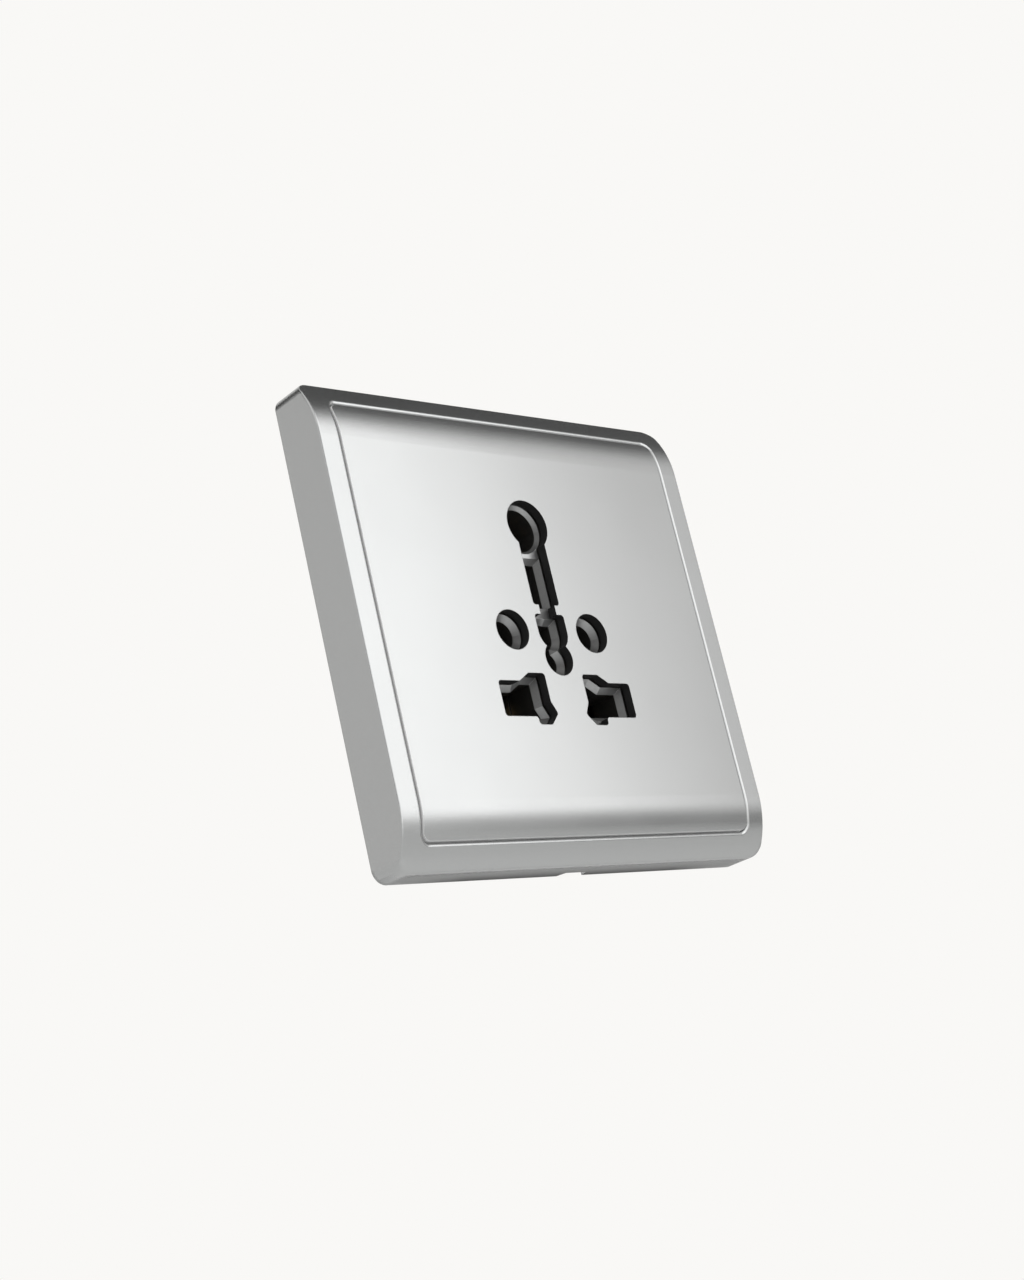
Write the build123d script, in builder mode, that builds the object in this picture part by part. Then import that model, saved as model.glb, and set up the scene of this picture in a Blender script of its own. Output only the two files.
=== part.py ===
"""Universal wall socket on a square clip-on plate.

Millimetres, +Z up. The front faces -Y, the wall plane is Y = 0 and the plate is centred on X = Z = 0.
"""

import math
import os

from build123d import *

# Plate and outer frame
plate_size = 86.0
plate_depth = 10.0
plate_corner_r = 2.5
skin_edge_r = 0.4
skin_tolerance = 0.05
roll_r = 17.5
roll_reach = 11.0
shoulder_r = 1.5
border_w = 4.45
groove_lip_r = 0.6
frame_wall = 1.8
snap_length = 12.0
snap_reach = 0.7
snap_t = 1.0
snap_front = -1.4
snap_offset = 20.0
notch_w = 6.0
notch_end_w = 4.8
notch_depth = 1.9

# Centre panel and the groove round it
panel_corner_r = 1.5
panel_t = 1.8
panel_rim_t = 0.9
panel_edge_r = 0.12
groove_w = 0.1
ledge_w = 2.2
ledge_clearance = 0.35
barb_length = 7.0
barb_spacing = 22.0
barb_leg = 1.6
barb_reach = 0.65
barb_t = 0.8
barb_gap = 0.1

# Pin apertures as cut through the panel
round_spacing = 19.0
round_z = -1.7
round_cut_r = 3.7
earth_top_z = 18.6
earth_top_cut_r = 4.7
earth_slot_half = 3.1
earth_slot_bottom = 3.3
earth_neck_half = 1.9
earth_mid_z = -1.8
earth_mid_cut_r = 3.45
earth_mid_top = 1.5
earth_low_z = -6.7
earth_low_cut_r = 3.2
slot_outer = 15.65
slot_top = -11.1
slot_bottom = -17.5
ramp_x = 10.65
blade_outer = 8.25
blade_inner = 4.5
blade_top = -9.6
nose_x = 3.4
nose_top = -14.8
nose_z = -16.95
foot_inner = 5.3
foot_bottom = -18.95
cut_corner_r = 0.6

# Aperture block behind the panel
lead_in = 1.0
earth_top_lead_in = 0.65
block_gap = 0.5
block_plate_t = 2.6
block_w = 48.0
block_h = 58.0
block_corner_r = 2.0
block_wall = 1.6
well_wall = 1.4
well_end = -1.0
earth_slot_hole_w = 4.3
earth_slot_hole_bottom = 3.5
earth_slot_hole_top = 12.1
earth_waist = 2.5

# Screwed joint between the block and the box
boss_r = 3.2
boss_inset = 1.6
boss_joint = -2.6
joint_screw_r = 1.45
joint_screw_end = -6.2
joint_tip_room = 0.4
joint_head_r = 2.6
joint_head_t = 1.8
joint_clearance = 0.1
joint_head_clearance = 0.3

# Mounting plate
mount_corner_r = 1.2
mount_rear = -1.6
mount_t = 2.0
mount_foot_step = 1.5
mount_foot_w = 2.5
mount_rib_t = 1.2
mount_rib_spacing = 15.0
mount_rib_gap = 0.4
mount_clearance = 0.2
fixing_spacing = 60.3
fixing_slot_w = 7.0
fixing_slot_h = 4.0
fixing_pad = 12.0

# Contact box
box_wall = 1.8
box_flange_t = 1.5
box_floor = 16.4
box_floor_t = 2.0
partition_x = 5.2
partition_t = 0.8
partition_front = -0.8

# Brass strips, jaws and springs
strip_t = 0.7
strip_w = 3.2
strip_y = 15.5
line_strip_x = 9.9
throat_y = 4.0
mouth_y = 1.0
jaw_flare = 0.6
jaw_spread = 0.3
jaw_bend_r = 0.8
spring_t = 0.5
spring_fit = 0.05
spring_length = 3.0
rest_h = 2.5
line_rest_z = 5.5
earth_rest_z = 13.2

# Jaws as x, z, half gap and length
line_pin_jaw = (round_spacing / 2, round_z, 2.2, 6.0)
line_blade_jaw = (11.1, (slot_top + slot_bottom) / 2, 3.0, 5.0)
earth_pin_jaw = (0.0, earth_top_z, 3.2, 6.0)
earth_blade_jaw = (0.0, (earth_slot_hole_bottom + earth_slot_hole_top) / 2, 1.8, 7.0)
earth_low_jaw = (0.0, (earth_mid_z + earth_low_z) / 2, 1.9, 8.0)

# Terminals
terminal_w = 8.6
terminal_front = 6.0
terminal_length = 12.0
line_terminal_x = 10.9
line_terminal_gap = 3.2
earth_terminal_gap = 0.7
wire_r = 2.1
wire_y = 9.5
wire_depth = 9.0
wire_entry = 6.0
screw_r = 1.95
screw_fit = 0.05
screw_from_mouth = 4.5
screw_tip_gap = 0.2
screw_head_r = 2.9
screw_head_t = 2.0
screw_head_gap = 0.25
screw_head_clearance = 0.4
rivet_r = 1.2
rivet_from_mouth = 10.3
rivet_end = 10.5
rivet_head_r = 1.8
rivet_head_t = 0.5
driver_slot_w = 0.8
driver_slot_depth = 1.0

# Sizes that follow from those above
half = plate_size / 2
flat_half = half - roll_reach
panel_size = plate_size - 2 * (border_w + groove_w)
opening_size = panel_size + 2 * groove_w
opening_corner_r = panel_corner_r + groove_w
ledge_opening = opening_size - 2 * ledge_w
core_size = ledge_opening - 2 * ledge_clearance
panel_rear = panel_t - plate_depth
block_front = panel_rear + block_gap
block_plate_rear = block_front + block_plate_t
mount_front = mount_rear - mount_t
mount_size = plate_size - 2 * (frame_wall + mount_clearance)
mount_foot_size = mount_size - 2 * mount_foot_step
inner_foot = mount_foot_size - 2 * mount_foot_w
mount_opening_w = block_w - 2 * block_wall - 2 * mount_clearance
mount_opening_h = block_h - 2 * block_wall - 2 * mount_clearance
box_w = mount_opening_w - 2 * mount_clearance
box_h = mount_opening_h - 2 * mount_clearance
box_rear = box_floor + box_floor_t
cavity_w = box_w - 2 * box_wall
cavity_h = box_h - 2 * box_wall
strip_front = strip_y - strip_t / 2
strip_rear = strip_y + strip_t / 2
boss_x = cavity_w / 2 - boss_inset
boss_z = cavity_h / 2 - boss_inset
bosses = [(x, z) for x in (-boss_x, boss_x) for z in (-boss_z, boss_z)]
line_terminal_mouth = cavity_h / 2 - line_terminal_gap
earth_terminal_mouth = earth_terminal_gap - cavity_h / 2

# Terminals as x, mouth height and the way that the wire leaves
live_place = (line_terminal_x, line_terminal_mouth, 1)
neutral_place = (-line_terminal_x, line_terminal_mouth, 1)
earth_place = (0.0, earth_terminal_mouth, -1)
terminal_places = (live_place, neutral_place, earth_place)


def at_depth(y):
    """Plane across the plate at depth y, with X to the right, Z up and its normal to the front."""
    return Plane.XZ.offset(-y)


def box_at(x, z, width, height, front, rear, mode=Mode.ADD):
    """Block across the plate, centred at x and z, between two depths."""
    with BuildSketch(at_depth(rear)) as outline:
        with Locations((x, z)):
            Rectangle(width, height)
    extrude(outline.sketch, amount=rear - front, mode=mode)


def disc_at(x, z, radius, front, rear, mode=Mode.ADD):
    """Round bar across the plate, centred at x and z, between two depths."""
    with BuildSketch(at_depth(rear)) as outline:
        with Locations((x, z)):
            Circle(radius)
    extrude(outline.sketch, amount=rear - front, mode=mode)


def rolled_outline(inset, mode=Mode.ADD):
    """Side outline of the plate, set in from its skin: flat front, rolled over to the top and bottom."""
    front = inset - plate_depth
    top = half - inset
    radius = roll_r - inset
    shoulder = front + radius - math.sqrt(radius**2 - (top - flat_half) ** 2)
    with BuildLine() as outline:
        Line((front, -flat_half), (front, flat_half))
        TangentArc((front, flat_half), (shoulder, top), tangent=(0, 1))
        Polyline((shoulder, top), (0, top), (0, -top), (shoulder, -top))
        TangentArc((front, -flat_half), (shoulder, -top), tangent=(0, -1))
    make_face(outline.edges(), mode=mode)


def is_shoulder(corner):
    """True where the rolled front of the side outline meets its top or bottom."""
    return abs(corner.Z) > half - skin_tolerance and corner.Y < -skin_tolerance


def rolled_layer(outer, inner, size, corner):
    """Layer of the plate between two insets from its skin, cut to a rounded square."""
    with BuildSketch(Plane.YZ) as section:
        rolled_outline(outer)
        rolled_outline(inner, mode=Mode.SUBTRACT)
    extrude(section.sketch, amount=half, both=True)
    with BuildSketch(Plane.XZ) as square:
        RectangleRounded(size, size, corner)
    extrude(square.sketch, amount=plate_depth, mode=Mode.INTERSECT)


def skin_y(z):
    """Depth of the plate's front skin at height z."""
    rise = max(abs(z) - flat_half, 0)
    return roll_r - plate_depth - math.sqrt(roll_r**2 - rise**2)


def skin_edges(part, least, most):
    """Edges that lie in the front skin, within a band of distances from the middle of the plate."""

    def wanted(edge):
        middle = edge @ 0.5
        reach = max(abs(middle.X), abs(middle.Z))
        return abs(middle.Y - skin_y(middle.Z)) < skin_tolerance and least < reach < most

    return part.edges().filter_by(wanted)


def tall_slot(half_width, bottom, top):
    """Upright rectangle on the centre line of a sketch."""
    with Locations((0, (bottom + top) / 2)):
        Rectangle(2 * half_width, top - bottom)


def line_cut(side):
    """Cut for the flat pins of one line pole: a level slot joined to upright and slanted blades."""
    with BuildLine() as outline:
        Polyline(
            (side * slot_outer, slot_top),
            (side * ramp_x, slot_top),
            (side * blade_outer, blade_top),
            (side * blade_inner, blade_top),
            (side * blade_inner, nose_top),
            (side * nose_x, nose_z),
            (side * foot_inner, foot_bottom),
            (side * blade_outer, foot_bottom),
            (side * blade_outer, slot_bottom),
            (side * slot_outer, slot_bottom),
            close=True,
        )
    make_face(outline.edges())


def earth_cut():
    """Earth cut of the panel: round top, slot, neck and a keyhole below it."""
    with Locations((0, earth_top_z)):
        Circle(earth_top_cut_r)
    tall_slot(earth_slot_half, earth_slot_bottom, earth_top_z)
    tall_slot(earth_neck_half, earth_mid_z, earth_top_z)
    tall_slot(earth_mid_cut_r, earth_mid_z, earth_mid_top)
    with Locations((0, earth_mid_z)):
        Circle(earth_mid_cut_r)
    with Locations((0, earth_low_z)):
        Circle(earth_low_cut_r)


def beside_neck(corner):
    """True for a corner of the panel's earth cut above or below its neck."""
    clear_of_neck = abs(corner.X) > earth_neck_half + cut_corner_r
    return clear_of_neck and earth_mid_z < corner.Y < earth_top_z - earth_top_cut_r


def earth_holes():
    """Earth holes of the block: a round one, a slot and a keyhole, with bridges between them."""
    with Locations((0, earth_top_z)):
        Circle(earth_top_cut_r - earth_top_lead_in)
    tall_slot(earth_slot_hole_w / 2, earth_slot_hole_bottom, earth_slot_hole_top)
    tall_slot(earth_mid_cut_r - lead_in, earth_mid_z, earth_mid_top - lead_in)
    tall_slot(earth_waist / 2, earth_low_z, earth_mid_z)
    with Locations((0, earth_mid_z)):
        Circle(earth_mid_cut_r - lead_in)
    with Locations((0, earth_low_z)):
        Circle(earth_low_cut_r - lead_in)


def takes_lead_in(edge):
    """True for the rim of a block hole, but not for the round earth hole or the foot of the earth slot."""
    middle = edge @ 0.5
    round_earth = middle.Z > earth_slot_hole_top + lead_in
    slot_foot = abs(middle.X) < skin_tolerance and abs(middle.Z - earth_slot_hole_bottom) < skin_tolerance
    return not (round_earth or slot_foot)


def bent_strip(x, z, length, thickness, bend, points):
    """Bent strip: a centre line mirrored about x, given a thickness and a length along Z."""
    right = [(x + reach, y) for reach, y in points]
    left = [(x - reach, y) for reach, y in reversed(points)]
    with BuildSketch(Plane.XY.offset(z - length / 2)) as section:
        with BuildLine() as path:
            FilletPolyline(*right, *left, radius=bend)
        trace(path.edges(), line_width=thickness)
    extrude(section.sketch, amount=length)


def jaw(side, place):
    """Jaw open to the front, with flared lips, a throat and a heel on the base strip."""
    x, z, gap, length = place
    reach = gap + strip_t / 2
    points = [(reach + jaw_flare, mouth_y), (reach, throat_y), (reach + jaw_spread, strip_y)]
    bent_strip(side * x, z, length, strip_t, jaw_bend_r, points)


def jaw_spring(side, place):
    """Steel clip that closes round the back and sides of a jaw."""
    x, z, gap, _ = place
    step = (strip_t + spring_t) / 2 + spring_fit
    reach = gap + strip_t / 2 + step
    points = [(reach, throat_y), (reach + jaw_spread, strip_y + step)]
    bent_strip(side * x, z, spring_length, spring_t, jaw_bend_r + step, points)


def contact(side, strip_x, jaws, place):
    """Brass contact: jaws on one base strip, which widens to a tab under its terminal."""
    tab_x, mouth, way = place
    tab_end = mouth - way * terminal_length
    ends = [z + end * length / 2 for _, z, _, length in jaws for end in (-1, 1)] + [tab_end]
    middle = (min(ends) + max(ends)) / 2
    box_at(side * strip_x, middle, strip_w, max(ends) - min(ends), strip_front, strip_rear)
    box_at(tab_x, (mouth + tab_end) / 2, terminal_w, terminal_length, strip_front, strip_rear)
    for jaw_place in jaws:
        jaw(side, jaw_place)
    terminal_holes(place, strip_front, strip_rear)


def terminal_holes(place, front, rear):
    """Screw and rivet holes of one terminal, cut between two depths."""
    x, mouth, way = place
    disc_at(x, mouth - way * screw_from_mouth, screw_r + screw_fit, front, rear, Mode.SUBTRACT)
    disc_at(x, mouth - way * rivet_from_mouth, rivet_r + screw_fit, front, rear, Mode.SUBTRACT)


def hole_along_z(x, y, radius, start, end):
    """Round hole along Z between two heights."""
    with BuildSketch(Plane.XY.offset(start)) as outline:
        with Locations((x, y)):
            Circle(radius)
    extrude(outline.sketch, amount=end - start, mode=Mode.SUBTRACT)


def terminal(place):
    """Brass pillar: a wire bore from its mouth, and a screw and a rivet from behind."""
    x, mouth, way = place
    middle = mouth - way * terminal_length / 2
    box_at(x, middle, terminal_w, terminal_length, terminal_front, strip_front)
    hole_along_z(x, wire_y, wire_r, mouth, mouth - way * wire_depth)
    terminal_holes(place, wire_y, strip_front)


# Recess of the frame that takes the rim of the panel
with BuildPart() as panel_recess:
    rolled_layer(0, panel_rim_t, opening_size, opening_corner_r)

# Outer frame: hollow rolled surround with a ledge under the panel, snaps and a prying notch
with BuildPart() as outer_frame:
    with BuildSketch(Plane.YZ) as frame_profile:
        rolled_outline(0)
        fillet(frame_profile.vertices().filter_by(is_shoulder), radius=shoulder_r)
    extrude(amount=half, both=True)
    with BuildSketch(Plane.XZ):
        RectangleRounded(plate_size, plate_size, plate_corner_r)
    extrude(amount=plate_depth, mode=Mode.INTERSECT)
    fillet(skin_edges(outer_frame, half - plate_corner_r, plate_size), radius=skin_edge_r)
    with BuildSketch(Plane.YZ):
        rolled_outline(frame_wall)
    extrude(amount=half - frame_wall, both=True, mode=Mode.SUBTRACT)
    add(panel_recess.part, mode=Mode.SUBTRACT)
    with BuildSketch(Plane.XZ):
        Rectangle(ledge_opening, ledge_opening)
    extrude(amount=plate_depth, mode=Mode.SUBTRACT)
    fillet(skin_edges(outer_frame, 0, opening_size / 2 + groove_w / 2), radius=groove_lip_r)
    snap_centre = half - frame_wall - snap_reach / 2
    for side in (-1, 1):
        for along in (-snap_offset, snap_offset):
            box_at(side * snap_centre, along, snap_reach, snap_length, snap_front, snap_front + snap_t)
            box_at(along, side * snap_centre, snap_length, snap_reach, snap_front, snap_front + snap_t)
    with BuildSketch(Plane.XY.offset(-half)):
        with BuildLine():
            Polyline(
                (-notch_w / 2, 0),
                (notch_w / 2, 0),
                (notch_end_w / 2, -notch_depth),
                (-notch_end_w / 2, -notch_depth),
                close=True,
            )
        make_face()
    extrude(amount=frame_wall, mode=Mode.SUBTRACT)

# Thick middle of the panel, inside the ledge of the frame
with BuildPart() as panel_core:
    rolled_layer(panel_rim_t, panel_t, core_size, panel_corner_r)

# Centre panel: the same rolled skin, apertures cut through it, barbs that hold it in the frame
with BuildPart() as centre_panel:
    rolled_layer(0, panel_rim_t, panel_size, panel_corner_r)
    fillet(skin_edges(centre_panel, panel_size / 2 - panel_corner_r, half), radius=panel_edge_r)
    add(panel_core.part)
    barb_front = panel_rear + barb_gap
    barb_rear = barb_front + barb_t
    for side in (-1, 1):
        for z in (-barb_spacing, 0, barb_spacing):
            box_at(side * (core_size - barb_leg) / 2, z, barb_leg, barb_length, panel_rear, barb_rear)
            box_at(side * (core_size + barb_reach) / 2, z, barb_reach, barb_length, barb_front, barb_rear)
    with BuildSketch(Plane.XZ) as panel_cuts:
        line_cut(1)
        line_cut(-1)
        fillet(panel_cuts.vertices(), radius=cut_corner_r)
        earth_cut()
        fillet(panel_cuts.vertices().filter_by(beside_neck), radius=cut_corner_r)
        with Locations((-round_spacing / 2, round_z), (round_spacing / 2, round_z)):
            Circle(round_cut_r)
    extrude(amount=plate_depth, mode=Mode.SUBTRACT)

# Aperture block: black plate and skirt, guide wells, bevelled lead-ins and four screw bosses
with BuildPart() as aperture_block:
    with BuildSketch(at_depth(mount_front)):
        RectangleRounded(block_w, block_h, block_corner_r)
    extrude(amount=mount_front - block_front)
    cavity = block_plate_rear, mount_front, Mode.SUBTRACT
    box_at(0, 0, block_w - 2 * block_wall, block_h - 2 * block_wall, *cavity)
    wells = block_plate_rear, well_end
    earth_bottom = earth_low_z - earth_low_cut_r
    earth_top = earth_top_z + earth_top_cut_r
    box_at(0, (earth_bottom + earth_top) / 2, 2 * earth_top_cut_r, earth_top - earth_bottom, *wells)
    disc_at(0, earth_top_z, earth_top_cut_r - earth_top_lead_in + well_wall, *wells)
    for side in (-1, 1):
        well_w = slot_outer - blade_inner
        well_h = blade_top - foot_bottom
        box_at(side * (slot_outer + blade_inner) / 2, (blade_top + foot_bottom) / 2, well_w, well_h, *wells)
        disc_at(side * round_spacing / 2, round_z, round_cut_r - lead_in + well_wall, *wells)
    for x, z in bosses:
        disc_at(x, z, boss_r, block_plate_rear, boss_joint)
        tip = joint_screw_end - joint_tip_room
        disc_at(x, z, joint_screw_r + joint_clearance / 2, tip, boss_joint, Mode.SUBTRACT)
    with BuildSketch(Plane.XZ) as block_holes:
        line_cut(1)
        line_cut(-1)
        offset(amount=-lead_in, kind=Kind.INTERSECTION, mode=Mode.REPLACE)
        earth_holes()
        with Locations((-round_spacing / 2, round_z), (round_spacing / 2, round_z)):
            Circle(round_cut_r - lead_in)
    extrude(amount=plate_depth, both=True, mode=Mode.SUBTRACT)
    rims = aperture_block.faces().sort_by(Axis.Y)[0].inner_wires().edges()
    chamfer(rims.sort_by(Axis.Z)[-1], length=earth_top_lead_in)
    rims = aperture_block.faces().sort_by(Axis.Y)[0].inner_wires().edges()
    chamfer(rims.filter_by(takes_lead_in), length=lead_in)

# Mounting plate: white grid with a ribbed foot on the wall and two fixing slots
with BuildPart() as mounting_plate:
    with BuildSketch(at_depth(mount_rear)):
        RectangleRounded(mount_size, mount_size, mount_corner_r)
        Rectangle(mount_opening_w, mount_opening_h, mode=Mode.SUBTRACT)
    extrude(amount=mount_t)
    with BuildSketch(at_depth(0)):
        Rectangle(mount_foot_size, mount_foot_size)
        Rectangle(inner_foot, inner_foot, mode=Mode.SUBTRACT)
        for along in (-mount_rib_spacing, 0, mount_rib_spacing):
            with Locations((along, 0)):
                Rectangle(mount_rib_t, mount_foot_size)
        for along in (-mount_rib_spacing, mount_rib_spacing):
            with Locations((0, along)):
                Rectangle(mount_foot_size, mount_rib_t)
        Rectangle(block_w + 2 * mount_rib_gap, block_h + 2 * mount_rib_gap, mode=Mode.SUBTRACT)
        with Locations((-fixing_spacing / 2, 0), (fixing_spacing / 2, 0)):
            Rectangle(fixing_pad - mount_rib_gap, fixing_pad)
    extrude(amount=-mount_rear)
    with BuildSketch(at_depth(0)):
        with Locations((-fixing_spacing / 2, 0), (fixing_spacing / 2, 0)):
            SlotOverall(fixing_slot_w, fixing_slot_h)
    extrude(amount=mount_t - mount_rear, mode=Mode.SUBTRACT)

# Contact box: flanged tray with partitions, bosses, rests, and openings for wires and screwdrivers
with BuildPart() as contact_box:
    with BuildSketch(at_depth(box_rear)):
        RectangleRounded(box_w, box_h, block_corner_r)
    extrude(amount=box_rear - mount_rear)
    with BuildSketch(at_depth(mount_rear + box_flange_t)):
        RectangleRounded(block_w, block_h, block_corner_r)
    extrude(amount=box_flange_t)
    box_at(0, 0, cavity_w, cavity_h, mount_rear, box_floor, Mode.SUBTRACT)
    for side in (-1, 1):
        box_at(side * partition_x, 0, partition_t, cavity_h, partition_front, box_floor)
        box_at(side * line_strip_x, line_rest_z, strip_w, rest_h, strip_rear, box_floor)
    box_at(0, earth_rest_z, strip_w, rest_h, strip_rear, box_floor)
    for x, z in bosses:
        disc_at(x, z, boss_r, boss_joint, box_floor)
        disc_at(x, z, joint_screw_r + joint_clearance, boss_joint, box_floor, Mode.SUBTRACT)
        disc_at(x, z, joint_head_r + joint_head_clearance, box_floor, box_rear, Mode.SUBTRACT)
    for x, mouth, way in terminal_places:
        screw_z = mouth - way * screw_from_mouth
        disc_at(x, screw_z, screw_head_r + screw_head_clearance, box_floor, box_rear, Mode.SUBTRACT)
        entry = wire_y - wire_entry / 2, wire_y + wire_entry / 2, Mode.SUBTRACT
        box_at(x, way * (cavity_h + box_h) / 4, wire_entry, box_wall, *entry)

# Brass contacts
line_jaws = (line_pin_jaw, line_blade_jaw)
earth_jaws = (earth_pin_jaw, earth_blade_jaw, earth_low_jaw)
with BuildPart() as live_contact:
    contact(1, line_strip_x, line_jaws, live_place)
with BuildPart() as neutral_contact:
    contact(-1, line_strip_x, line_jaws, neutral_place)
with BuildPart() as earth_contact:
    contact(1, 0, earth_jaws, earth_place)

# Steel springs round the jaws
with BuildPart() as live_pin_spring:
    jaw_spring(1, line_pin_jaw)
with BuildPart() as live_blade_spring:
    jaw_spring(1, line_blade_jaw)
with BuildPart() as neutral_pin_spring:
    jaw_spring(-1, line_pin_jaw)
with BuildPart() as neutral_blade_spring:
    jaw_spring(-1, line_blade_jaw)
with BuildPart() as earth_pin_spring:
    jaw_spring(1, earth_pin_jaw)
with BuildPart() as earth_blade_spring:
    jaw_spring(1, earth_blade_jaw)
with BuildPart() as earth_low_spring:
    jaw_spring(1, earth_low_jaw)

# Terminal blocks
with BuildPart() as live_terminal:
    terminal(live_place)
with BuildPart() as neutral_terminal:
    terminal(neutral_place)
with BuildPart() as earth_terminal:
    terminal(earth_place)

# Terminal screws: slotted heads in the floor of the box, tips just short of the wire bores
with BuildPart() as terminal_screws:
    head_front = strip_rear + screw_head_gap
    head_rear = head_front + screw_head_t
    for x, mouth, way in terminal_places:
        z = mouth - way * screw_from_mouth
        disc_at(x, z, screw_r, wire_y + wire_r + screw_tip_gap, head_front)
        disc_at(x, z, screw_head_r, head_front, head_rear)
        slot_front = head_rear - driver_slot_depth
        box_at(x, z, 2 * screw_head_r, driver_slot_w, slot_front, head_rear, Mode.SUBTRACT)

# Rivets that join the strips to the terminals
with BuildPart() as contact_rivets:
    for x, mouth, way in terminal_places:
        z = mouth - way * rivet_from_mouth
        disc_at(x, z, rivet_r, rivet_end, strip_rear)
        disc_at(x, z, rivet_head_r, strip_rear, strip_rear + rivet_head_t)

# Assembly screws: cross-slotted, from the rear of the box into the block
with BuildPart() as assembly_screws:
    head_rear = box_floor + joint_head_t
    slot_front = head_rear - driver_slot_depth
    for x, z in bosses:
        disc_at(x, z, joint_screw_r, joint_screw_end, box_floor)
        disc_at(x, z, joint_head_r, box_floor, head_rear)
        box_at(x, z, joint_head_r, driver_slot_w, slot_front, head_rear, Mode.SUBTRACT)
        box_at(x, z, driver_slot_w, joint_head_r, slot_front, head_rear, Mode.SUBTRACT)

nodes = {
    "outer_frame": outer_frame,
    "centre_panel": centre_panel,
    "aperture_block": aperture_block,
    "mounting_plate": mounting_plate,
    "contact_box": contact_box,
    "live_contact": live_contact,
    "neutral_contact": neutral_contact,
    "earth_contact": earth_contact,
    "live_pin_spring": live_pin_spring,
    "live_blade_spring": live_blade_spring,
    "neutral_pin_spring": neutral_pin_spring,
    "neutral_blade_spring": neutral_blade_spring,
    "earth_pin_spring": earth_pin_spring,
    "earth_blade_spring": earth_blade_spring,
    "earth_low_spring": earth_low_spring,
    "live_terminal": live_terminal,
    "neutral_terminal": neutral_terminal,
    "earth_terminal": earth_terminal,
    "terminal_screws": terminal_screws,
    "contact_rivets": contact_rivets,
    "assembly_screws": assembly_screws,
}

os.makedirs("parts", exist_ok=True)
for name, node in nodes.items():
    node.part.label = name
    export_step(node.part, f"parts/{name}.step")
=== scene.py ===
"""Finish, light and camera for the universal wall socket.

Metres, in the frame of its solids: X to the right, Z up, the front faces -Y and the wall plane is Y = 0.
"""

import math

import bmesh
import bpy
from mathutils import Matrix, Quaternion, Vector

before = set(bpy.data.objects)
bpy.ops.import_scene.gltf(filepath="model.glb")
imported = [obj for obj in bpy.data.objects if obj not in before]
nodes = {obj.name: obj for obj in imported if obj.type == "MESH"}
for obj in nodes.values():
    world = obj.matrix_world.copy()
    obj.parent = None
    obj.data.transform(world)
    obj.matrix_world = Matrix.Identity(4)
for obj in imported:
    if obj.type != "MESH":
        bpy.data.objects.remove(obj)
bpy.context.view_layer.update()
MM = 0.001
middle = Vector((0, 0, 0))

# Camera of the photograph
camera_place = Vector((-262.99, -265.33, -111.21)) * MM
camera_aim = Vector((-6.90, -6.59, -2.25)) * MM
camera_roll = math.radians(13.2)
camera_lens = 61.6
camera_near = 0.01

# Colours of the finishes
paint_light = (0.406, 0.412, 0.413, 1)
paint_dark = (0.378, 0.384, 0.385, 1)
# Lighter matt colour painted on the sides of the panel in the groove: painted light in place of the
# highlights on the groove's lips
groove_light_colour = (0.75, 0.75, 0.75, 1)
raw_light = (0.030, 0.030, 0.030, 1)
raw_dark = (0.018, 0.018, 0.018, 1)
black_light = (0.030, 0.029, 0.027, 1)
black_dark = (0.020, 0.019, 0.018, 1)
white_light = (0.80, 0.80, 0.78, 1)
white_dark = (0.74, 0.74, 0.72, 1)
brass_light = (0.76, 0.56, 0.26, 1)
brass_dark = (0.52, 0.36, 0.15, 1)
spring_light = (0.42, 0.43, 0.45, 1)
spring_dark = (0.24, 0.25, 0.28, 1)
zinc_light = (0.66, 0.66, 0.63, 1)
zinc_dark = (0.48, 0.48, 0.45, 1)

# Colours of the stage
backdrop = (0.947, 0.939, 0.922, 1)
soft_light = (0.78, 0.78, 0.77, 1)
floor_light = (0.80, 0.80, 0.80, 1)
floor_dark = (0.77, 0.77, 0.77, 1)
floor_glow = 0.3

# Roughness, from one end of a finish's grain to the other where there are two
paint_roughness = (0.246, 0.272)
raw_roughness = 0.5
black_roughness = (0.28, 0.34)
bevel_roughness = 0.38
white_roughness = (0.42, 0.55)
brass_roughness = (0.24, 0.36)
spring_roughness = (0.28, 0.40)
zinc_roughness = (0.25, 0.38)
stage_roughness = 0.9

# Share of metal in the paint, and how strongly the paint and the black moulding mirror
paint_metal = 0.92
paint_mirror = 0.1
black_mirror = 1.0

# Scale of each grain, per metre, and its layers
paint_flakes = 5200
paint_peel = 900
paint_cloud = 45
black_grain = 2600
black_cloud = 60
mist_specks = 3400
white_grain = 1800
white_cloud = 50
metal_lines = 900
metal_cloud = 160
stage_cloud = 6
few_layers = 2
some_layers = 3
many_layers = 4
grain_low = 0.3
grain_high = 0.7
along_z = (1.0, 1.0, 0.08)
all_round = (1.0, 1.0, 1.0)

# Depth of the grain, rounding of the edges, width of their wear and width of the highlight painted along the
# rims of the bevels
paint_relief = 0.004 * MM
black_relief = 0.004 * MM
white_relief = 0.008 * MM
metal_relief = 0.006 * MM
relief_strength = 0.5
paint_edge = 0.15 * MM
paint_soft_edge = 1.6 * MM
soft_below = -40.6 * MM
black_edge = 0.10 * MM
white_edge = 0.12 * MM
metal_edge = 0.08 * MM
edge_samples = 6
rim_highlight_width = 0.18 * MM
white_wear_width = 0.25 * MM
metal_wear_width = 0.15 * MM
white_wear = 0.4
metal_wear = 0.5
open_face = 0.98
sharp_edge = 0.80

# Limits of the painted faces of the panel and the frame; a facing is a part of a face's normal
facing = 0.35
aperture_reach = 30 * MM
# Where the painted light in the groove lies: outside this reach, on faces turned away from the front
groove_inside = 37.5 * MM
groove_open = -0.75
groove_deep = -0.35
frame_inside = 41.5 * MM
frame_inside_front = -7 * MM
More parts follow.
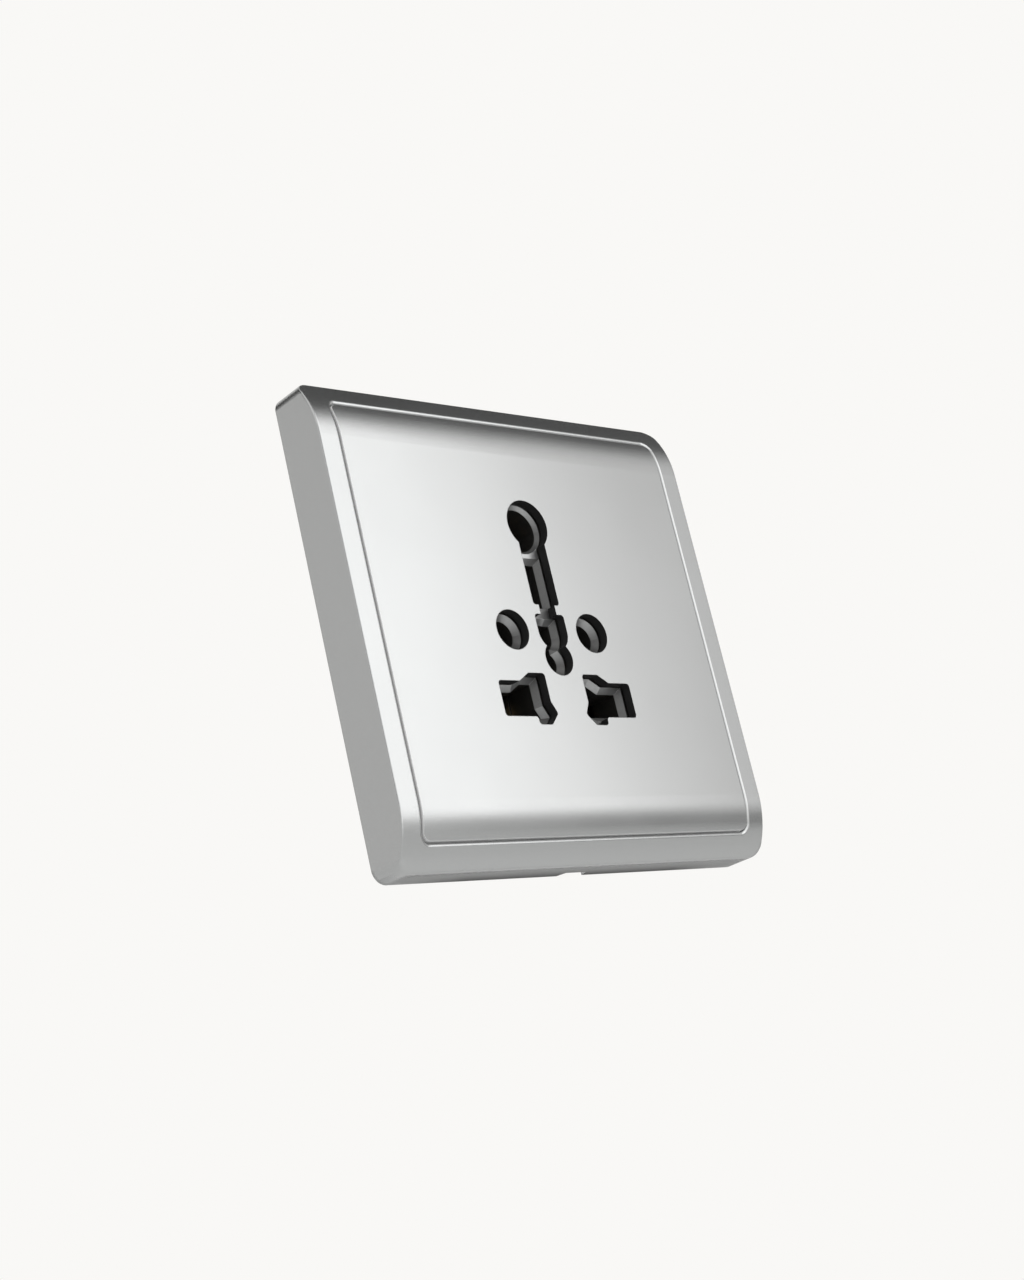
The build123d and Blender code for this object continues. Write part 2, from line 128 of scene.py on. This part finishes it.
# Painted shade on the frame's underside: darker towards the wall, and weaker towards the ends
underside = -0.7
shade_front = -5.2 * MM
shade_rear = -0.5 * MM
shade_middle = 25 * MM
shade_end = 40 * MM
darkest_shade = 0.9
shade_at_ends = 0.2

# Limits and strength of the paint on the black moulding, and of the light and highlight painted on its
# bevels
block_front = -7.6 * MM
bridge_low = 13.0 * MM
bridge_high = 15.3 * MM
bridge_half = 3.1 * MM
bevel_rear = -6.6 * MM
flat_facing = 0.9
mist_thin = 0.88
mist_thick = 1.0
# Painted light: bevels that look down are lighter than the others
painted_light_least = 0.14
painted_light_starts = 0.1
painted_light_full = -0.7
# Strength of the highlight painted along the rims of the bevels
rim_highlight_strength = 0.45


def add(tree, kind, inputs=None, **settings):
    """Adds a node, links or sets its inputs, and returns it."""
    node = tree.nodes.new(kind)
    for key, value in settings.items():
        setattr(node, key, value)
    for key, value in (inputs or {}).items():
        if isinstance(value, bpy.types.NodeSocket):
            tree.links.new(value, node.inputs[key])
        else:
            node.inputs[key].default_value = value
    return node


def maths(tree, operation, first, second):
    """Result of one sum or comparison."""
    return add(tree, "ShaderNodeMath", {0: first, 1: second}, operation=operation).outputs[0]


def product(tree, first, *others):
    """Product of values, which is 1 where masks are all 1."""
    for other in others:
        first = maths(tree, "MULTIPLY", first, other)
    return first


def more(tree, value, limit):
    """1 where a value is over a limit."""
    return maths(tree, "GREATER_THAN", value, limit)


def less(tree, value, limit):
    """1 where a value is under a limit."""
    return maths(tree, "LESS_THAN", value, limit)


def larger(tree, first, second):
    """The larger of two values."""
    return maths(tree, "MAXIMUM", first, second)


def size_of(tree, value):
    """A value without its sign."""
    return maths(tree, "ABSOLUTE", value, 0)


def parts_of(tree, vector):
    """X, Y and Z of a vector."""
    return add(tree, "ShaderNodeSeparateXYZ", {0: vector}).outputs


def reach_of(tree, axes):
    """Half the side of the square round the middle of the plate that runs through a place."""
    return larger(tree, size_of(tree, axes["X"]), size_of(tree, axes["Z"]))


def ramp(tree, value, first, last, low=0.0, high=1.0):
    """Runs from low at the first limit to high at the last one."""
    inputs = {"Value": value, "From Min": first, "From Max": last, "To Min": low, "To Max": high}
    return add(tree, "ShaderNodeMapRange", inputs).outputs[0]


def noise(tree, place, scale, layers=some_layers, stretch=None):
    """Fine grain, as a number from 0 to 1, with its scale per metre."""
    if stretch:
        place = add(tree, "ShaderNodeMapping", {"Vector": place, "Scale": stretch}).outputs[0]
    inputs = {"Vector": place, "Scale": scale, "Detail": layers}
    return add(tree, "ShaderNodeTexNoise", inputs).outputs[0]


def between(tree, grain, low, high):
    """Stretches a grain to a range, and runs smoothly into its ends."""
    inputs = {"Value": grain, "From Min": grain_low, "From Max": grain_high, "To Min": low, "To Max": high}
    return add(tree, "ShaderNodeMapRange", inputs, interpolation_type="SMOOTHSTEP").outputs[0]


def blend(tree, factor, first, second):
    """Colour between two others."""
    return add(tree, "ShaderNodeMix", {0: factor, 6: first, 7: second}, data_type="RGBA").outputs[2]


def blend_number(tree, factor, first, second):
    """Number between two others."""
    return add(tree, "ShaderNodeMix", {0: factor, 2: first, 3: second}).outputs[0]


def rounded_edges(tree, radius):
    """Normal that turns softly round the edges."""
    return add(tree, "ShaderNodeBevel", {"Radius": radius}, samples=edge_samples).outputs[0]


def edge_wear_and_highlight(tree, width):
    """1 along sharp edges and 0 on open faces."""
    inputs = {0: rounded_edges(tree, width), 1: add(tree, "ShaderNodeNewGeometry").outputs["Normal"]}
    likeness = add(tree, "ShaderNodeVectorMath", inputs, operation="DOT_PRODUCT").outputs["Value"]
    return ramp(tree, likeness, open_face, sharp_edge)


def relief(tree, height, depth, edge):
    """Normal of a grain laid over softly rounded edges."""
    rounded = rounded_edges(tree, edge)
    inputs = {"Height": height, "Strength": relief_strength, "Distance": depth, "Normal": rounded}
    return add(tree, "ShaderNodeBump", inputs).outputs[0]


def start(name):
    """New material: its tree, its shader, and the places and normals of the piece."""
    material = bpy.data.materials.new(name)
    material.use_nodes = True
    tree = material.node_tree
    piece = add(tree, "ShaderNodeTexCoord").outputs
    return material, tree, tree.nodes["Principled BSDF"], piece


def link(tree, shader, **sockets):
    """Links each named input of the shader."""
    for name, value in sockets.items():
        tree.links.new(value, shader.inputs[name.replace("_", " ").title()])


def silver_paint(name, dark_share_mask, groove_light_mask=None):
    """Satin silver paint, with dark moulding where no paint reached, painted shade where the dark mask holds
    it, and a lighter matt colour painted as light where the light mask lies.
    """
    material, tree, shader, piece = start(name)
    place = piece["Object"]
    axes = parts_of(tree, place)
    turned = parts_of(tree, piece["Normal"])
    flakes = noise(tree, place, paint_flakes, few_layers)
    cloud = noise(tree, place, paint_cloud)
    peel = noise(tree, place, paint_peel, few_layers)
    # On the frame this mask also holds the painted shade on the underside
    dark_share = dark_share_mask(tree, axes, turned)
    groove_light = groove_light_mask(tree, axes, turned) if groove_light_mask else 0.0
    paint = blend(tree, between(tree, flakes, 0, 1), paint_dark, paint_light)
    # Painted light: a lighter colour with no metal in it, laid on the panel's sides in the groove
    paint = blend(tree, groove_light, paint, groove_light_colour)
    moulding = blend(tree, cloud, raw_dark, raw_light)
    shine = blend_number(tree, groove_light, paint_metal, 0.0)
    edge = blend_number(tree, less(tree, axes["Z"], soft_below), paint_edge, paint_soft_edge)
    shader.inputs["Specular IOR Level"].default_value = paint_mirror
    link(
        tree,
        shader,
        base_color=blend(tree, dark_share, paint, moulding),
        metallic=blend_number(tree, dark_share, shine, 0.0),
        roughness=blend_number(tree, dark_share, between(tree, cloud, *paint_roughness), raw_roughness),
        normal=relief(tree, peel, paint_relief, edge),
    )
    return material


def bare_panel(tree, axes, turned):
    """1 on the walls of the apertures and on the rear of the panel."""
    inner = less(tree, reach_of(tree, axes), aperture_reach)
    wall = more(tree, turned["Y"], -facing)
    rear = more(tree, turned["Y"], facing)
    return larger(tree, product(tree, inner, wall), rear)


def groove_painted_light(tree, axes, turned):
    """1 on the sides of the panel, down in the groove, where a lighter matt colour is painted as light."""
    outer = more(tree, reach_of(tree, axes), groove_inside)
    return product(tree, outer, ramp(tree, turned["Y"], groove_open, groove_deep))


def bare_frame_and_painted_shade(tree, axes, turned):
    """1 on the inside and the rear of the frame, and painted shade on its underside that grows darker
    towards the wall and weaker towards the ends.
    """
    inner = less(tree, reach_of(tree, axes), frame_inside)
    deep = more(tree, axes["Y"], frame_inside_front)
    rear = more(tree, turned["Y"], facing)
    below = less(tree, turned["Z"], underside)
    # Painted shade, darker towards the wall and weaker towards the ends
    shade_to_the_wall = ramp(tree, axes["Y"], shade_front, shade_rear, 0.0, darkest_shade)
    shade_to_the_ends = ramp(tree, size_of(tree, axes["X"]), shade_middle, shade_end, 1.0, shade_at_ends)
    dark_share = larger(tree, product(tree, inner, deep), rear)
    return larger(tree, dark_share, product(tree, below, shade_to_the_wall, shade_to_the_ends))


def painted_bridge(tree, axes):
    """1 on the front of the block between the earth hole and the earth slot."""
    front = less(tree, axes["Y"], block_front)
    over = more(tree, axes["Z"], bridge_low)
    under = less(tree, axes["Z"], bridge_high)
    return product(tree, front, over, under, less(tree, size_of(tree, axes["X"]), bridge_half))


def lead_in_bevels(tree, axes, turned):
    """1 on the bevels round the wells, and 0 on the flat front that the panel covers."""
    front = less(tree, axes["Y"], bevel_rear)
    sloped = less(tree, turned["Y"], -facing)
    aside = more(tree, size_of(tree, axes["X"]), bridge_half)
    covered = product(tree, aside, less(tree, turned["Y"], -flat_facing))
    return product(tree, front, sloped, maths(tree, "SUBTRACT", 1.0, covered))


def bevel_mist_and_painted_light(tree, place, turned, bevel):
    """Speckled overspray of paint on the bevels, with painted light: much more on those that look down,
    little on the others, and a painted highlight along their rims.
    """
    specks = noise(tree, place, mist_specks, many_layers)
    # Painted light: more of the light colour on the bevels that look down
    painted_light_down = ramp(tree, turned["Z"], painted_light_starts, painted_light_full, painted_light_least, 1.0)
    mist_and_painted_light = product(tree, bevel, between(tree, specks, mist_thin, mist_thick), painted_light_down)
    # Painted highlight along the rims of the bevels
    rim_highlight = product(tree, bevel, edge_wear_and_highlight(tree, rim_highlight_width), rim_highlight_strength)
    return larger(tree, mist_and_painted_light, rim_highlight)


def black_moulding():
    """Semi-gloss black moulding, with a speckled overspray, painted light and a painted highlight on its
    bevels, and full paint on the bridge.
    """
    material, tree, shader, piece = start("black moulding")
    place = piece["Object"]
    axes = parts_of(tree, place)
    turned = parts_of(tree, piece["Normal"])
    grain = noise(tree, place, black_grain)
    cloud = noise(tree, place, black_cloud)
    bevel = lead_in_bevels(tree, axes, turned)
    # The bridge's paint, and the overspray, painted light and painted highlight on the bevels
    paint = larger(tree, painted_bridge(tree, axes), bevel_mist_and_painted_light(tree, place, turned, bevel))
    black = blend(tree, between(tree, grain, 0, 1), black_dark, black_light)
    shader.inputs["Specular IOR Level"].default_value = black_mirror
    link(
        tree,
        shader,
        base_color=blend(tree, paint, black, paint_light),
        metallic=blend_number(tree, paint, 0.0, paint_metal),
        roughness=blend_number(tree, bevel, between(tree, cloud, *black_roughness), bevel_roughness),
        normal=relief(tree, grain, black_relief, black_edge),
    )
    return material


def white_moulding():
    """Plain white moulding with a fine spark-eroded grain, brighter along its edges."""
    material, tree, shader, piece = start("white moulding")
    grain = noise(tree, piece["Object"], white_grain)
    cloud = noise(tree, piece["Object"], white_cloud)
    worn = product(tree, edge_wear_and_highlight(tree, white_wear_width), white_wear)
    white = blend(tree, between(tree, cloud, 0, 1), white_dark, white_light)
    link(
        tree,
        shader,
        base_color=blend(tree, worn, white, white_light),
        roughness=between(tree, grain, *white_roughness),
        normal=relief(tree, grain, white_relief, white_edge),
    )
    return material


def metal(name, dark, light, roughness, stretch):
    """Rolled or drawn metal: lines along its length, cloudy tarnish and bright edges."""
    material, tree, shader, piece = start(name)
    lines = noise(tree, piece["Object"], metal_lines, many_layers, stretch)
    cloud = noise(tree, piece["Object"], metal_cloud)
    worn = product(tree, edge_wear_and_highlight(tree, metal_wear_width), metal_wear)
    tarnish = blend(tree, between(tree, cloud, 0, 1), dark, light)
    shader.inputs["Metallic"].default_value = 1.0
    link(
        tree,
        shader,
        base_color=blend(tree, worn, tarnish, light),
        roughness=between(tree, lines, *roughness),
        normal=relief(tree, lines, metal_relief, metal_edge),
    )
    return material


def dress(material, *names):
    """Puts one finish on some of the pieces."""
    for name in names:
        node = nodes[name]
        node.data.materials.clear()
        node.data.materials.append(material)


# Finishes on the pieces
dress(silver_paint("frame paint", bare_frame_and_painted_shade), "outer_frame")
dress(silver_paint("panel paint", bare_panel, groove_painted_light), "centre_panel")
dress(black_moulding(), "aperture_block", "contact_box")
dress(white_moulding(), "mounting_plate")
strip_brass = metal("strip brass", brass_dark, brass_light, brass_roughness, along_z)
dress(strip_brass, "live_contact", "neutral_contact", "earth_contact", "contact_rivets")
dress(strip_brass, "live_terminal", "neutral_terminal", "earth_terminal")
spring_steel = metal("spring steel", spring_dark, spring_light, spring_roughness, along_z)
dress(spring_steel, "live_pin_spring", "live_blade_spring", "neutral_pin_spring", "neutral_blade_spring")
dress(spring_steel, "earth_pin_spring", "earth_blade_spring", "earth_low_spring")
zinc_plate = metal("zinc plate", zinc_dark, zinc_light, zinc_roughness, all_round)
dress(zinc_plate, "terminal_screws", "assembly_screws")


def from_middle(azimuth, elevation, distance):
    """Place at a distance from the plate, with its azimuth in degrees from the front towards the right."""
    turn = math.radians(azimuth)
    rise = math.radians(elevation)
    level = math.cos(rise)
    return Vector((math.sin(turn) * level, -math.cos(turn) * level, math.sin(rise))) * distance


def turn_to(place, towards, axis, roll):
    """Turn that points an axis from a place towards a point, rolled by an angle in degrees."""
    return (towards - place).to_track_quat(axis, "Y") @ Quaternion((0, 0, 1), math.radians(roll))


def sheet(name, width, height, place, towards, material, roll=0.0):
    """Flat stage sheet that faces a point."""
    turn = turn_to(place, towards, "Z", roll).to_matrix().to_4x4()
    size = Matrix.Diagonal((width / 2, height / 2, 1, 1))
    stand = Matrix.Translation(place) @ turn @ size
    mesh = bpy.data.meshes.new(name)
    shape = bmesh.new()
    bmesh.ops.create_grid(shape, x_segments=1, y_segments=1, size=1, matrix=stand)
    shape.to_mesh(mesh)
    shape.free()
    mesh.materials.append(material)
    piece = bpy.data.objects.new(name, mesh)
    bpy.context.scene.collection.objects.link(piece)
    return piece


def softbox(name, place, width, height, brightness, roll=0.0, aside=0.0):
    """Soft lamp of an even brightness that faces the plate and is slid aside in its own plane."""
    lamp = bpy.data.lights.new(name, "AREA")
    lamp.shape = "RECTANGLE"
    lamp.size = width
    lamp.size_y = height
    lamp.energy = brightness * math.pi * width * height
    turn = turn_to(place, middle, "-Z", roll)
    piece = bpy.data.objects.new(name, lamp)
    piece.location = place + turn @ Vector((aside, 0, 0))
    piece.rotation_euler = turn.to_euler()
    piece.visible_camera = False
    bpy.context.scene.collection.objects.link(piece)


def seen_rays(tree):
    """1 for what is seen, mirrored or looked through, and 0 for light on a surface."""
    ray = add(tree, "ShaderNodeLightPath").outputs
    seen = larger(tree, ray["Is Camera Ray"], ray["Is Glossy Ray"])
    return larger(tree, seen, ray["Is Transmission Ray"])


def floor_finish():
    """Pale matt floor, seen almost as bright as the backdrop."""
    material, tree, shader, piece = start("pale floor")
    cloud = noise(tree, piece["Object"], stage_cloud)
    shader.inputs["Roughness"].default_value = stage_roughness
    shader.inputs["Emission Color"].default_value = backdrop
    glow = maths(tree, "MULTIPLY", seen_rays(tree), floor_glow)
    link(tree, shader, base_color=blend(tree, cloud, floor_dark, floor_light), emission_strength=glow)
    return material


def card_finish(name, cover):
    """Dark matt gauze that covers a share of what lies behind it."""
    material, tree, shader, piece = start(name)
    cloud = noise(tree, piece["Object"], stage_cloud)
    shader.inputs["Roughness"].default_value = stage_roughness
    shader.inputs["Alpha"].default_value = cover
    link(tree, shader, base_color=blend(tree, cloud, raw_dark, raw_light))
    return material


def dark_card(name, place, width, height, roll=0.0, cover=1.0):
    """Card that the paint mirrors as a dark band, and that takes no light from the floor."""
    card = sheet(name, width, height, place, middle, card_finish(name, cover), roll)
    card.visible_camera = False
    card.visible_diffuse = False
    card.visible_shadow = False


# Floor
floor_side = 4.0
floor_place = Vector((0, 0, -0.35))
above = Vector((0, 0, 1))
sheet("floor", floor_side, floor_side, floor_place, above, floor_finish())

# Dark cards: one overhead with a thinner edge, and small ones behind, below and at the camera's side
overhead = from_middle(85, 62, 1.0)
over_overhead = from_middle(85, 62, 1.02)
overhead_roll = -24
dark_card("overhead card", overhead, width=0.95, height=1.6, roll=overhead_roll, cover=0.94)
dark_card("overhead edge card", over_overhead, width=1.23, height=1.7, roll=overhead_roll, cover=0.45)
dark_card("rear card", from_middle(135, -20, 1.0), width=0.45, height=0.30)
dark_card("left rear card", from_middle(-140, 47, 1.0), width=0.8, height=0.5)
dark_card("low card", from_middle(60, -11, 0.8), width=0.5, height=0.15, cover=0.75)
dark_card("camera side card", from_middle(-46, 18, 0.6), width=0.30, height=0.26)

# Soft lamps: a bright one and a dimmer one side by side in front, and one on the left
front = from_middle(7, 13, 0.42)
front_slant = {"height": 0.45, "roll": 20}
softbox("front lamp", front, width=0.27, aside=0.175, brightness=1.72, **front_slant)
softbox("front fill lamp", front, width=0.34, aside=-0.13, brightness=1.0, **front_slant)
softbox("left lamp", from_middle(-55, 35, 0.5), width=0.40, height=0.50, brightness=0.4)

# World: plain soft light, with the pale backdrop where it is seen, mirrored or looked through
world = bpy.data.worlds.new("studio")
bpy.context.scene.world = world
world.use_nodes = True
sky = world.node_tree
sky.links.new(blend(sky, seen_rays(sky), soft_light, backdrop), sky.nodes["Background"].inputs["Color"])

# Camera
lens = bpy.data.cameras.new("camera")
lens.lens = camera_lens
lens.clip_start = camera_near
camera = bpy.data.objects.new("camera", lens)
sight = camera_aim - camera_place
level = sight.to_track_quat("-Z", "Y")
camera.location = camera_place
camera.rotation_euler = (Quaternion(sight.normalized(), camera_roll) @ level).to_euler()
bpy.context.scene.collection.objects.link(camera)
bpy.context.scene.camera = camera

bpy.context.scene.view_settings.view_transform = "Standard"
